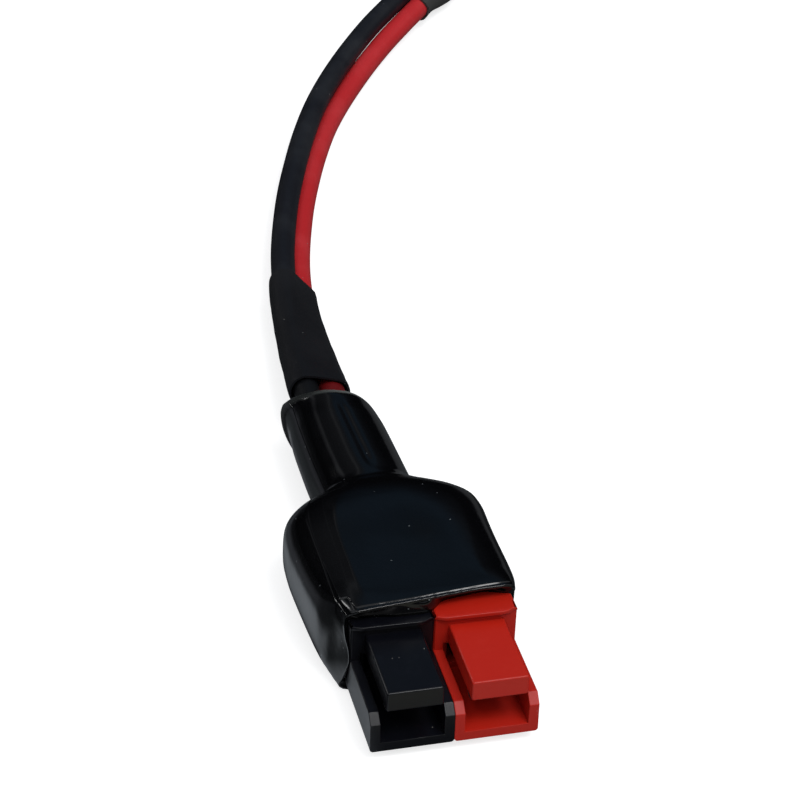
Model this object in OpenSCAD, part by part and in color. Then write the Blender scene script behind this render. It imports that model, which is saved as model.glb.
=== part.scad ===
// Two-pole battery connector of a charging lead: a black and a red housing
// locked side by side, pushed into a soft boot, on a red and black twin lead.
// +X runs from the black housing to the red one, -Y is the way the mate comes
// from, +Z is up. The origin is on the surface that the boot lies on, under
// the middle of the housings and boot. All sizes are in millimetres.

/* [Housing] */
// Width and height of one housing, which is also the pitch of the pair
pitch = 7.9; // [7:0.1:9]
// Length of a housing
housing_len = 24.6; // [22:0.1:28]
// Length of the open hood in front of the closed block
hood_len = 8.4; // [7:0.1:9]
// Thickness of the hood's walls
wall = 0.95; // [0.7:0.05:1.2]
// Height of the hood's side walls
side_h = 3.95; // [3.5:0.05:4.2]
// Chamfer on the front of the side walls
nose = 0.92; // [0.4:0.02:1.2]
// Width of the tongue that covers the contact
tongue_w = 5.3; // [4.6:0.1:5.8]
// Thickness of the tongue
tongue_t = 2.1; // [1.6:0.1:2.4]
// Height of the tongue's underside above the housing's
tongue_z = 4.67; // [4.4:0.01:5]
// How far the tongue stands out in front of the hood
tongue_out = 0.25; // [0:0.05:0.5]
// Diameter of the bore that takes the crimped barrel
barrel_bore = 5.4; // [5:0.1:5.8]

/* [Contact] */
// Thickness of the contact's blade
blade_t = 0.8; // [0.6:0.05:1]
// Width of the contact's blade
blade_w = 4.2; // [3.6:0.1:4.6]
// Outer diameter of the crimp barrel
barrel_d = 4.3; // [3.8:0.1:4.8]

/* [Boot] */
// Thickness of the boot's floor, on which the housings lie
floor_t = 1.15; // [0.8:0.05:1.5]
// Thickness of the boot's sides and top
skin = 0.95; // [0.7:0.05:1.1]
// Thickness of the neck around the wires
neck_skin = 1.3; // [1:0.1:1.5]

/* [Lead] */
// Diameter of each wire
wire_d = 2.8; // [2.6:0.1:2.8]
// Wall of the shrink sleeves
sleeve_t = 0.3; // [0.2:0.05:0.4]
// Diameter of the two core lead
lead_d = 6.2; // [5.8:0.1:6.2]
// Radius of the outer turns at the middle of the lead
coil_r = 37.1; // [34:0.1:40]
// Length of the bared core ends
core_len = 22; // [15:1:25]

/* [Hidden] */
$fn = 48;
eps = 0.01;

// Where the pair of housings lies: its joint plane, its hoods' front and its underside
pair_x = 0.5;
front_y = -24.3;
axis_z = floor_t + pitch / 2;

// The hood's cavity reaches past a mate's tongue, and a narrower slot takes the blade
cavity_end = hood_len + tongue_out + 0.6;
slot_w = 4.8;
slot_z = 1.6;
barrel_y = 15.4;
barrel_len = 5.8;
wire_y = 21.4;
tongue_x = 1.36;
edge_r = 0.35;

// Dovetail on the housing's sides: depth, width at the face and at the tip, and its ends
rib = [0.55, 2.0, 2.7];
rib_y = [14.4, 23.2];
rib_fit = 0.05;

pin_d = 2.4;
pin_len = 6.4;
pin_y = 11.7;

// Boot outside: place from the hoods' front, reach to the left and right of the
// centre, reach below and above it, roundness power, and the centre's x and z
boot_rows = [
    [ 8.5,  8.6,  8.5, 5.2, 5.45, 5.4,  0.50, axis_z],
    [ 9.6,  9.0,  8.7, 5.2, 5.65, 5.0,  0.50, axis_z],
    [11.0,  9.6,  8.8, 5.2, 5.65, 4.4,  0.50, axis_z],
    [13.5, 10.1,  9.0, 5.2, 5.65, 4.0,  0.50, axis_z],
    [17.0, 10.3,  9.0, 5.2, 5.65, 3.8,  0.50, axis_z],
    [21.0, 10.5,  9.1, 5.2, 5.65, 3.7,  0.50, axis_z],
    [24.8, 10.6,  9.4, 5.2, 5.65, 3.5,  0.50, axis_z],
    [27.0, 10.3,  9.6, 5.2, 5.60, 3.0,  0.50, axis_z],
    [29.0,  8.8,  8.6, 5.15, 5.35, 2.6,  0.30, axis_z],
    [30.1,  6.8,  6.7, 5.1, 5.10, 2.3,  0.10, axis_z],
    [30.8,  5.5,  5.5, 5.05, 4.95, 2.1,  0.00, 5.0],
    [31.8,  4.95, 4.95, 4.95, 4.95, 2.0, -0.15, 5.0],
    [36.0,  4.9,  4.9, 4.85, 4.85, 2.0, -0.35, 5.05],
    [42.0,  4.75, 4.9, 4.8,  4.8,  2.0, -0.60, 5.1],
    [45.0,  4.5,  4.95, 4.8, 4.85, 2.0, -0.72, 5.15],
    [46.1,  4.4,  5.0, 4.8, 4.9,  2.0, -0.76, 5.15],
    [46.6,  4.1,  4.6, 4.4, 4.5,  2.0, -0.78, 5.15]
];
// Mouth of the boot: angle round the section and place from the hoods' front
mouth_rows = [
    [0, 13.2], [25, 12.8], [45, 11.0], [65, 10.6], [90, 9.6], [120, 9.6], [135, 9.9],
    [155, 10.2], [170, 9.0], [180, 8.6], [200, 8.7], [225, 10.0], [250, 10.3],
    [300, 10.5], [330, 12.0], [345, 12.9], [360, 13.2]
];
// The neck's end is cut unevenly: angle round the section and extra length there
neck_end_rows = [
    [0, -0.1], [60, 0], [100, 0], [130, 1.1], [155, 2.1], [180, 2.25], [210, 1.9],
    [240, 0.9], [270, 0.3], [360, -0.1]
];
boot_sides = 40;
// Row of boot_rows from which the hollow follows the neck's thicker wall
neck_row = 11;

// Radius of the two core lead, and its height where the upper sleeve lies under it
lead_r = lead_d / 2;
lead_z = lead_r + sleeve_t + 0.1;

// Pair of wires from the crimps to the jacket: middle of the pair, twist, half their distance
pair_route = [
    [   0.5, front_y + wire_y + 0.02, 5.1, 0, 3.95],
    [   0.5,    0.3,    5.1,  0,  3.9],
    [  0.35,    3.5,    5.1,  0,  3.2],
    [  0.05,      7,    5.1,  0, 2.15],
    [  -0.2,   10.5,    5.1,  0, 1.65],
    [  -0.4,   14.5,    5.1,  0, 1.42],
    [  -0.6,   18.5,   5.15,  0,  1.4],
    [  -0.7,     22,    5.1,  2,  1.4],
    [  -0.6,   25.5,   4.95,  5,  1.4],
    [  -0.4,     29,   4.65, 10,  1.4],
    [  -0.2,   32.5,   4.25, 15,  1.4],
    [   0.1,     37,   3.75, 22,  1.4],
    [   0.5,     42,    3.3, 31,  1.4],
    [   1.0,   47.5,    3.0, 40,  1.4],
    [   1.7,   52.7,   2.85, 46,  1.4],
    [   2.8,     59,    2.7, 50,  1.4],
    [   4.3,   65.5,    2.6, 52,  1.4],
    [   6.1,     72,    2.6, 54,  1.4],
    [   8.2,   78.5,   2.65, 56,  1.4],
    [  10.7,   85.5,   2.65, 56,  1.4],
    [  13.6,   92.5,   2.65, 54,  1.4],
    [  17.1,   99.5,    2.6, 49,  1.4],
    [  21.2,  106.5,    2.7, 42,  1.4],
    [  25.4,  112.7,    3.0, 35,  1.4],
    [  28.9,  117.1,   3.35, 30,  1.4],
    [  32.0,    121, lead_z, 27,  1.4],
    [  35.1,  124.9, lead_z, 24,  1.4],
    [  37.6,    128, lead_z, 22,  1.4]
];
// Half the distance between the sleeves' round sides, where they hold both wires
pair_reach = wire_d / 2 - 0.02;
wire_bore = wire_d / 2 + 0.05;
// Rows of the route between which each sleeve lies
lower_rows = [9, 14];
upper_rows = [25, 27];

// The two core lead runs straight from the upper sleeve to the coil's outer turn
lead_from = [37.6, 128];
lead_dir = atan2(7.0, 5.6);
lead_run_len = 37;
sleeve_on_lead = 13;
// Bore of the upper sleeve over the lead: its 16 flats touch the jacket
lead_bore = (lead_r + 0.01) / cos(180 / 16);
coil_at = lead_from + lead_run_len * [cos(lead_dir), sin(lead_dir)]
    + coil_r * [cos(lead_dir + 90), sin(lead_dir + 90)];
inner_r = coil_r - lead_d;

// The tail leaves the inner turn on a tighter arc and lies in the coil's eye
tail_r = 25;
tail_from = lead_dir - 90 + 60;
tail_turn = 130;
tail_start = 55;
tail_at = coil_at + (inner_r - tail_r) * [cos(tail_from), sin(tail_from)];
core_gap = 1.6;
core_arc = core_len / tail_r * 180 / PI;
tip_len = 4;

// Value of column c of a table at place y, on straight lines between its rows
function column(rows, c) = [for (r = rows) [r[0], r[c]]];
function at(rows, c, y) = lookup(y, column(rows, c));

// Direction from the section's centre that passes through the housings' corner at 45 degrees
function ray(t) = [pitch * cos(t), pitch / 2 * sin(t)];
function mouth_y(t) = lookup(t, mouth_rows);

// Distance to the boot's outside along a ray, as a multiple of the ray
function reach_out(y, t) =
    let (n = at(boot_rows, 5, y),
         a = at(boot_rows, cos(t) < 0 ? 1 : 2, y),
         h = at(boot_rows, sin(t) < 0 ? 3 : 4, y),
         d = ray(t))
    pow(pow(abs(d[0]) / a, n) + pow(abs(d[1]) / h, n), -1 / n);
// The same for the hollow: one wall further in, but never inside the housings
function reach_in(y, t, w) =
    let (k = reach_out(y, t) - w / norm(ray(t)))
    y < housing_len + 0.3 ? max(k, 1.003 / max(abs(cos(t)), abs(sin(t)))) : k;
function boot_point(y, t, k) =
    let (d = ray(t), x = at(boot_rows, 6, y), z = at(boot_rows, 7, y))
    [x + k * d[0], front_y + y, max(0, z + k * d[1])];
function boot_angles() = [for (i = [0 : boot_sides - 1]) 360 - i * 360 / boot_sides];

// Rings of the boot: the mouth's edge first, then the rows that lie behind it
function ring_y(row, t) =
    let (y = boot_rows[row][0], m = mouth_y(t))
    row < 5 ? m + (boot_rows[5][0] - m) * (row - 1) / 4 : y;
function end_shift(row, t) =
    [0, lookup(t, neck_end_rows) * lookup(row, [[neck_row + 2, 0], [neck_row + 4, 1]]), 0];
function outer_ring(row) =
    [for (t = boot_angles())
        let (y = ring_y(row, t)) boot_point(y, t, reach_out(y, t)) + end_shift(row, t)];
function inner_ring(row, w) =
    [for (t = boot_angles())
        let (y = ring_y(row, t)) boot_point(y, t, reach_in(y, t, w)) + end_shift(row, t)];

// Side and upward directions across the pair's route at one row
function flat(p) = [p[0], p[1], p[2]];
function along(path, i) =
    let (a = path[max(i - 1, 0)], b = path[min(i + 1, len(path) - 1)])
    (b - a) / norm(b - a);
function left_of(d) = [-d[1], d[0], 0] / norm([d[0], d[1]]);
function above(d) = cross(d, left_of(d));
function pair_path() = [for (p = pair_route) flat(p)];
function pair_axis(i) =
    let (d = along(pair_path(), i), t = pair_route[i][3])
    left_of(d) * cos(t) + above(d) * sin(t);
function wire_path(side) =
    [for (i = [0 : len(pair_route) - 1])
        flat(pair_route[i]) + side * pair_route[i][4] * pair_axis(i)];

// Round ring, and ring of two half circles round both wires
function round_ring(path, i, r, sides) =
    let (d = along(path, i), s = left_of(d), u = above(d))
    [for (k = [0 : sides - 1])
        let (a = (k + 0.5) * 360 / sides) path[i] + r * (cos(a) * s + sin(a) * u)];
function oval_ring(i, e, r, sides = 16) =
    let (d = along(pair_path(), i), s = pair_axis(i), u = cross(d, s))
    [for (k = [0 : sides - 1])
        let (a = (k + 0.5) * 360 / sides)
        flat(pair_route[i]) + sign(cos(a)) * e * s + r * (cos(a) * s + sin(a) * u)];

// Skin of triangles between rings that follow each other; closed makes a ring of rings
module loft(rings, closed = false) {
    n = len(rings[0]);
    m = len(rings);
    turns = closed ? m - 1 : m - 2;
    side_faces = [for (j = [0 : turns], i = [0 : n - 1])
        let (a = j * n + i, b = j * n + (i + 1) % n, k = ((j + 1) % m) * n)
        each [[a, k + i, b], [b, k + i, k + (i + 1) % n]]];
    caps = closed ? [] : [
        [for (i = [0 : n - 1]) i],
        [for (i = [0 : n - 1]) (m - 1) * n + n - 1 - i]];
    polyhedron([for (r = rings) each r], concat(side_faces, caps), convexity = 8);
}

// Block with rounded long edges that lies along y
module bar(size, r) {
    w = size[0];
    h = size[2];
    translate([0, size[1], 0])
        rotate([90, 0, 0])
            linear_extrude(size[1])
                union() {
                    translate([r, 0]) square([w - 2 * r, h]);
                    translate([0, r]) square([w, h - 2 * r]);
                    for (x = [r, w - r], z = [r, h - r])
                        translate([x, z]) circle(r, $fn = 24);
                }
}

// Dovetail profile that stands on the line z = 0
module dovetail(grow) {
    polygon([
        [-rib[1] / 2 - grow, -eps], [rib[1] / 2 + grow, -eps],
        [rib[2] / 2 + grow, rib[0] + grow], [-rib[2] / 2 - grow, rib[0] + grow]]);
}

// Dovetail bar along y, from y1 to y2
module dovetail_bar(y1, y2, grow) {
    translate([0, y2, 0])
        rotate([90, 0, 0])
            linear_extrude(y2 - y1)
                dovetail(grow);
}

module housing_outside() {
    difference() {
        union() {
            // hood up to its side walls, then the full block
            bar([pitch, hood_len + 1, side_h * 2], edge_r);
            translate([0, hood_len, 0]) bar([pitch, housing_len - hood_len, pitch], edge_r);
        }
        translate([-1, -1, side_h]) cube([pitch + 2, hood_len + 1, pitch]);
        // 45 degree chamfer on the front of both side walls
        translate([-1, 0, 0])
            rotate([90, 0, 90])
                linear_extrude(pitch + 2)
                    polygon([[-eps, side_h - nose], [nose, side_h + eps], [-eps, side_h + eps]]);
    }
    // tongue over the contact, with a small fillet where it meets the block
    translate([tongue_x, -tongue_out, tongue_z])
        bar([tongue_w, hood_len + tongue_out + 1, tongue_t], 0.25);
    translate([tongue_x + 0.25, hood_len, tongue_z + tongue_t])
        rotate([90, 0, 90])
            linear_extrude(tongue_w - 0.5)
                difference() {
                    translate([-0.4, -0.1]) square([0.6, 0.5]);
                    translate([-0.4, 0.4]) circle(0.4, $fn = 24);
                }
    // ribs on the left side and on top
    translate([0, 0, pitch / 2])
        rotate([0, -90, 0])
            dovetail_bar(rib_y[0], rib_y[1], 0);
    translate([pitch / 2, 0, pitch])
        dovetail_bar(rib_y[0], rib_y[1], 0);
}

// One housing, with its lower left front corner at the origin
module housing() {
    difference() {
        housing_outside();
        // cavity for the mate's tongue, slot for the blade, bore for the barrel
        translate([wall, -1, wall])
            cube([pitch - 2 * wall, cavity_end + 1, tongue_z - wall]);
        translate([(pitch - slot_w) / 2, cavity_end - eps, slot_z])
            cube([slot_w, barrel_y - cavity_end + 0.5, tongue_z - slot_z]);
        translate([pitch / 2, housing_len + 1, pitch / 2])
            rotate([90, 0, 0])
                cylinder(d = barrel_bore, h = housing_len + 1 - barrel_y);
        // grooves on the right side and underneath, open to the rear
        translate([pitch, 0, pitch / 2])
            rotate([0, -90, 0])
                dovetail_bar(rib_y[0] - rib_fit, housing_len + 1, rib_fit);
        translate([pitch / 2, 0, 0])
            dovetail_bar(rib_y[0] - rib_fit, housing_len + 1, rib_fit);
        // half of the pin's hole on either side
        for (x = [0, pitch])
            translate([x, pin_y, -1])
                cylinder(d = pin_d, h = pitch + 2);
    }
}

// Places a piece that is drawn in one housing's own corner frame
module in_housing(side) {
    translate([pair_x + (side < 0 ? -pitch : 0), front_y, floor_t])
        children();
}

module black_housing() {
    color("#1b1e24")
        in_housing(-1)
            housing();
}

module red_housing() {
    color("#e0382a")
        in_housing(1)
            housing();
}

// Split roll pin pressed into the hole between the housings
module retaining_pin() {
    color("silver")
        translate([pair_x, front_y + pin_y, axis_z - pin_len / 2])
            difference() {
                cylinder(d = pin_d - 0.04, h = pin_len);
                translate([0, 0, -1]) cylinder(d = pin_d - 0.9, h = pin_len + 2);
                translate([0, -0.25, -1]) cube([pin_d, 0.5, pin_len + 2]);
            }
}

// Crimp contact: blade with a lip at the front, shoulder, barrel at the rear
module contact() {
    top = tongue_z - 0.08;
    mid = pitch / 2;
    difference() {
        union() {
            translate([mid - blade_w / 2, 2.3, top - blade_t])
                cube([blade_w, barrel_y - 2.1, blade_t]);
            translate([mid - blade_w / 2, 2.3, top - blade_t])
                rotate([0, 90, 0])
                    cylinder(r = blade_t, h = blade_w);
            translate([mid - 1.7, barrel_y - 1.2, mid - 1.3])
                cube([3.4, 1.6, top - mid + 1.3]);
            translate([mid, barrel_y + barrel_len, mid])
                rotate([90, 0, 0])
                    cylinder(d = barrel_d, h = barrel_len);
        }
        translate([0, -1, top]) cube([pitch, 12, 2]);
        translate([mid, barrel_y + barrel_len + 1, mid])
            rotate([90, 0, 0])
                cylinder(d = barrel_d - 1.5, h = barrel_len + 0.2);
    }
}

module black_contact() {
    color("lightgray")
        in_housing(-1)
            contact();
}

module red_contact() {
    color("lightgray")
        in_housing(1)
            contact();
}

// Flat spring that rises from the floor behind the cavity to the blade's underside
module spring() {
    translate([pitch / 2 - 1.6, 0, 0])
        rotate([90, 0, 90])
            linear_extrude(3.2)
                polygon([
                    [13.6, slot_z + 0.02], [13.6, slot_z + 0.3], [10.6, slot_z + 0.3],
                    [6.4, 3.4], [4.8, 3.72], [3.9, 3.5],
                    [4.0, 3.22], [4.8, 3.42], [6.3, 3.1], [10.5, slot_z + 0.02]]);
}

module black_spring() {
    color("silver")
        in_housing(-1)
            spring();
}

module red_spring() {
    color("silver")
        in_housing(1)
            spring();
}

// Bared copper strands, from the barrel's root to the wire's insulation
module strands() {
    translate([pitch / 2, wire_y, pitch / 2])
        rotate([90, 0, 0])
            cylinder(d = barrel_d - 1.54, h = wire_y - barrel_y - 1);
}

module black_strands() {
    color("peru")
        in_housing(-1)
            strands();
}

module red_strands() {
    color("peru")
        in_housing(1)
            strands();
}

// Soft shell: outside from the mouth to the neck, then the hollow back again
module boot() {
    last = len(boot_rows) - 1;
    color("#101216")
        loft(concat(
            [for (i = [1 : last]) outer_ring(i)],
            [for (i = [last : -1 : 1])
                inner_ring(i, i < neck_row ? skin : i < last ? neck_skin : neck_skin - 0.5)]
        ), closed = true);
}

module wire(side) {
    path = wire_path(side);
    loft([for (i = [0 : len(path) - 1]) round_ring(path, i, wire_d / 2, 8)]);
}

module black_wire() {
    color("#202429")
        wire(1);
}

module red_wire() {
    color("#b4303a")
        wire(-1);
}

// Sleeve over both wires, a little looser at the end near the boot
module lower_sleeve() {
    a = lower_rows[0];
    b = lower_rows[1];
    function bore(i) = wire_bore + 0.18 * (b - i) / (b - a);
    color("#26282c")
        loft(concat(
            [for (i = [a : b]) oval_ring(i, pair_reach, bore(i) + sleeve_t)],
            [for (i = [b : -1 : a]) oval_ring(i, pair_reach, bore(i))]
        ), closed = true);
}

// Sleeve from the pair of wires onto the lead's jacket, where it becomes round
module upper_sleeve() {
    a = upper_rows[0];
    b = upper_rows[1];
    path = [for (s = [0, sleeve_on_lead / 2, sleeve_on_lead])
        [lead_from[0], lead_from[1], lead_z] + s * [cos(lead_dir), sin(lead_dir), 0]];
    function e(i) = pair_reach * (b - i) / (b - a);
    function bore(i) = lead_bore + (wire_bore - lead_bore) * (b - i) / (b - a);
    color("#26282c")
        loft(concat(
            [for (i = [a : b]) oval_ring(i, e(i), bore(i) + sleeve_t)],
            [for (i = [1, 2]) turned_ring(path, i, lead_bore + sleeve_t)],
            [for (i = [2, 1]) turned_ring(path, i, lead_bore)],
            [for (i = [b : -1 : a]) oval_ring(i, e(i), bore(i))]
        ), closed = true);
}

// Round ring whose first point follows the twist at the end of the pair's route
function turned_ring(path, i, r, sides = 16) =
    let (d = along(path, i), s = pair_axis(upper_rows[1]), u = cross(d, s))
    [for (k = [0 : sides - 1])
        let (a = (k + 0.5) * 360 / sides) path[i] + r * (cos(a) * s + sin(a) * u)];

// Two core lead from its cut end in the upper sleeve to the coil's outer turn
module lead_run() {
    drop = lead_z - lead_r;
    steps = [0.08, 8, sleeve_on_lead, 18, 23, lead_run_len];
    path = [for (s = steps)
        [lead_from[0], lead_from[1], lead_z - drop * max(0, min(1, (s - sleeve_on_lead) / 10))]
            + s * [cos(lead_dir), sin(lead_dir), 0]];
    color("#1d1f23")
        loft([for (i = [0 : len(path) - 1]) round_ring(path, i, lead_r, 12)]);
}

// Section of the coil: two turns beside and two above each other
module turns_section() {
    for (i = [0, 1], j = [0, 1])
        translate([inner_r + i * lead_d, lead_r + j * lead_d])
            circle(lead_r + 0.03 * j);
    translate([inner_r, lead_r])
        square([lead_d, lead_d]);
    translate([inner_r - lead_r / 2, 0])
        square([lead_d + lead_r, lead_r]);
}

module lead_coil() {
    color("#1d1f23")
        difference() {
            translate([coil_at[0], coil_at[1], 0])
                rotate_extrude($fn = 96)
                    turns_section();
            // channels in which the straight run comes in and the tail leaves
            translate([lead_from[0], lead_from[1], lead_r + 0.2])
                rotate([0, 0, lead_dir])
                    rotate([0, 90, 0])
                        cylinder(r = lead_r + 0.4, h = lead_run_len + 0.02);
            tail_arc(tail_start - 0.02, tail_turn, lead_r + 0.05);
        }
}

// Arc of the tail between two of its angles, with radius r
module tail_arc(from, to, r) {
    translate([tail_at[0], tail_at[1], lead_r])
        rotate([0, 0, tail_from + from])
            rotate_extrude(angle = to - from, $fn = 96)
                translate([tail_r, 0])
                    circle(r);
}

// End of the lead, from where it leaves the inner turn to its cut end
module lead_tail() {
    color("#1d1f23")
        tail_arc(tail_start, tail_turn, lead_r);
}

// Bared core on an arc beside the tail's own, and its tinned tip
module core_end(side, from, to, d) {
    translate([tail_at[0], tail_at[1], lead_r])
        rotate([0, 0, tail_from + tail_turn + from])
            rotate_extrude(angle = to - from, $fn = 96)
                translate([tail_r - side * core_gap, 0])
                    circle(d = d, $fn = 24);
}

module black_core() {
    color("#202429")
        core_end(1, 0, core_arc, wire_d);
}

module red_core() {
    color("#b4303a")
        core_end(-1, 0, core_arc, wire_d);
}

module black_tip() {
    color("silver")
        core_end(1, core_arc, core_arc + tip_len / tail_r * 180 / PI, 1.9);
}

module red_tip() {
    color("silver")
        core_end(-1, core_arc, core_arc + tip_len / tail_r * 180 / PI, 1.9);
}

black_housing();
red_housing();
retaining_pin();
black_contact();
red_contact();
black_spring();
red_spring();
black_strands();
red_strands();
boot();
black_wire();
red_wire();
lower_sleeve();
upper_sleeve();
lead_run();
lead_coil();
lead_tail();
black_core();
red_core();
black_tip();
red_tip();
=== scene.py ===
# Two-pole battery connector on a charging lead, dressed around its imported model.
# Sizes are in millimetres and become metres where a mesh is made. The frame is the
# model's: +X from the black housing to the red one, -Y towards the mate, +Z up.
import math

import bmesh
import bpy
import numpy as np
from mathutils import Matrix, Vector, noise


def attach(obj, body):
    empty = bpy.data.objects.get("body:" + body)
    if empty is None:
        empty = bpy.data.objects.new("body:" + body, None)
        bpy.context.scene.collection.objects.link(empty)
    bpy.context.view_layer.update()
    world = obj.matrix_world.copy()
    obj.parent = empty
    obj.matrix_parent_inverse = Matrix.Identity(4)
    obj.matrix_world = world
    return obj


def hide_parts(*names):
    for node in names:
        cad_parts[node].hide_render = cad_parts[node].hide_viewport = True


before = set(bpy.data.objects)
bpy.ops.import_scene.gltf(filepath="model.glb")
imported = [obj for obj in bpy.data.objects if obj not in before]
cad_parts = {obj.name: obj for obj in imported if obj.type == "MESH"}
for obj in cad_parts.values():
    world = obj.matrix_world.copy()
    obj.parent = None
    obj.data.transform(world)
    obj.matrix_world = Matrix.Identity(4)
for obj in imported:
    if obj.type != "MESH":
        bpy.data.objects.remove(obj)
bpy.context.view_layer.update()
MM = 0.001


# Camera
# It looks down on the connector from in front and from the black housing's side,
# from 300 mm away, with the hoods at the bottom of the picture.
aim = Vector((7.77, 26.76, 4.15)) * MM
azimuth, elevation, roll = (math.radians(a) for a in (-14.92, 33.54, 2.21))
distance = 300 * MM
focal_pixels = 2851.5
picture_pixels = 800
sensor = 36.0

back = Vector((math.sin(azimuth) * math.cos(elevation),
               -math.cos(azimuth) * math.cos(elevation), math.sin(elevation)))
level = Vector((math.cos(azimuth), math.sin(azimuth), 0))
upright = back.cross(level)
across = level * math.cos(roll) + upright * math.sin(roll)
upward = upright * math.cos(roll) - level * math.sin(roll)
camera = bpy.data.objects.new("camera", bpy.data.cameras.new("camera"))
bpy.context.scene.collection.objects.link(camera)
camera.data.sensor_width = sensor
camera.data.lens = focal_pixels / picture_pixels * sensor
camera.matrix_world = (Matrix.Translation(aim + back * distance)
                       @ Matrix((across, upward, back)).transposed().to_4x4())
bpy.context.scene.camera = camera


# Black and red wires
# Stranded copper in soft extruded vinyl, one from each crimp. They meet in the boot,
# leave its neck one beside the other and turn a little round each other on their way.
wire_d = 2.8
wire_under, wire_uneven = 0.02, 0.03  # mm less than the full radius, and how uneven it is
wire_sides = 28
pair_route = [  # middle of the pair, its turn in degrees, half the distance of the wires
    (0.50, -2.88, 5.10, 0, 3.95), (0.50, 0.30, 5.10, 0, 3.90), (0.35, 3.50, 5.10, 0, 3.20),
    (0.05, 7.00, 5.10, 0, 2.15), (-0.20, 10.5, 5.10, 0, 1.65), (-0.40, 14.5, 5.10, 0, 1.42),
    (-0.60, 18.5, 5.15, 0, 1.40), (-0.70, 22.0, 5.10, 2, 1.40), (-0.60, 25.5, 4.95, 5, 1.40),
    (-0.40, 29.0, 4.65, 10, 1.40), (-0.20, 32.5, 4.25, 15, 1.40), (0.10, 37.0, 3.75, 22, 1.40),
    (0.50, 42.0, 3.30, 31, 1.40), (1.00, 47.5, 3.00, 40, 1.40), (1.70, 52.7, 2.85, 46, 1.40),
    (2.80, 59.0, 2.70, 50, 1.40), (4.30, 65.5, 2.60, 52, 1.40), (6.10, 72.0, 2.60, 54, 1.40),
    (8.20, 78.5, 2.65, 56, 1.40), (10.7, 85.5, 2.65, 56, 1.40), (13.6, 92.5, 2.65, 54, 1.40),
    (17.1, 99.5, 2.60, 49, 1.40), (21.2, 106.5, 2.70, 42, 1.40), (25.4, 112.7, 3.00, 35, 1.40),
    (28.9, 117.1, 3.35, 30, 1.40), (32.0, 121.0, 3.50, 27, 1.40), (35.1, 124.9, 3.50, 24, 1.40),
    (37.6, 128.0, 3.50, 22, 1.40)]
steps_per_row = 6


def unit(v):
    return v / np.linalg.norm(v, axis=-1, keepdims=True)


def smooth_line(rows, steps):
    """Points on a smooth curve through the rows, with that many steps from each to the next."""
    p = np.array(rows, float)
    p = np.vstack([2 * p[0] - p[1], p, 2 * p[-1] - p[-2]])
    made = []
    for i in range(1, len(p) - 2):
        for t in np.arange(steps) / steps:
            a, b, c, d = p[i - 1:i + 3]
            made.append(b + 0.5 * t * (c - a + t * (2 * a - 5 * b + 4 * c - d
                                                    + t * (3 * (b - c) + d - a))))
    return np.array(made + [p[-2]])


def sides_of(line):
    """Unit vectors along a line that is nearly level, to its left and above it."""
    along = unit(np.gradient(line, axis=0))
    left = unit(np.stack([-along[:, 1], along[:, 0], 0 * along[:, 0]], 1))
    return along, left, np.cross(along, left)


def skin(name, rings, closed=False):
    """Mesh over rings of points in mm, capped at both ends or closed into a ring of rings.
    Its UV map is the distance round and along the piece, in metres."""
    rings = np.asarray(rings, float)
    m, n = rings.shape[:2]
    bands = m if closed else m - 1
    faces, corners = [], []
    steps = np.linalg.norm(np.roll(rings, -1, 0) - rings, axis=2).mean(1)
    run = np.concatenate([[0], np.cumsum(steps)]) * MM
    girth = np.linalg.norm(np.roll(rings, -1, 1) - rings, axis=2).sum(1).mean() * MM
    for j in range(bands):
        k = (j + 1) % m
        for i in range(n):
            i2 = (i + 1) % n
            faces.append((j * n + i, j * n + i2, k * n + i2, k * n + i))
            u, u2 = i / n * girth, (i + 1) / n * girth
            corners += [(u, run[j]), (u2, run[j]), (u2, run[j + 1]), (u, run[j + 1])]
    if not closed:
        cap_r = girth / math.tau
        for j, order in ((0, range(n - 1, -1, -1)), (m - 1, range(n))):
            faces.append([j * n + i for i in order])
            corners += [(math.cos(i / n * math.tau) * cap_r, math.sin(i / n * math.tau) * cap_r)
                        for i in order]
    mesh = bpy.data.meshes.new(name)
    mesh.from_pydata((rings.reshape(-1, 3) * MM).tolist(), [], faces)
    uv = mesh.uv_layers.new(name="round_and_along")
    uv.data.foreach_set("uv", np.array(corners, np.float32).ravel())
    mesh.shade_smooth()
    piece = bpy.data.objects.new(name, mesh)
    bpy.context.scene.collection.objects.link(piece)
    return piece


def tube(name, line, radius, sides=wire_sides):
    """Round skin along a line; the radius is one number, or one for each point and side."""
    _, left, up = sides_of(line)
    a = np.arange(sides) / sides * 2 * math.pi
    r = np.broadcast_to(np.asarray(radius, float), (len(line), sides))
    rings = line[:, None] + r[..., None] * (np.cos(a)[:, None] * left[:, None]
                                            + np.sin(a)[:, None] * up[:, None])
    # its cut edges are a little blunt
    ends = [line[0] + (rings[0] - line[0]) * 0.9, line[-1] + (rings[-1] - line[-1]) * 0.9]
    return skin(name, np.concatenate([[ends[0]], rings, [ends[1]]]))


def noise_at(*places):
    """Smooth noise at points; each coordinate is a list, or one number for all of them."""
    return np.array([noise.noise(Vector(p)) for p in zip(*np.broadcast_arrays(*places))])


def node_adder(tree):
    """Function that adds a node to a shader tree, with its inputs set or linked."""
    def add(kind, inputs=(), **settings):
        node = tree.nodes.new("ShaderNode" + kind)
        for key, value in settings.items():
            setattr(node, key, value)
        for key, value in dict(inputs).items():
            if isinstance(value, bpy.types.NodeSocket):
                tree.links.new(value, node.inputs[key])
            else:
                node.inputs[key].default_value = value
        return node

    return add


def finish(name, colour, roughness):
    """New material, its surface shader, and a function that adds a node to it."""
    made = bpy.data.materials.new(name)
    made.use_nodes = True
    surface = made.node_tree.nodes["Principled BSDF"]
    surface.inputs["Base Color"].default_value = (*colour, 1)
    surface.inputs["Roughness"].default_value = roughness
    return made, surface, node_adder(made.node_tree)


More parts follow.
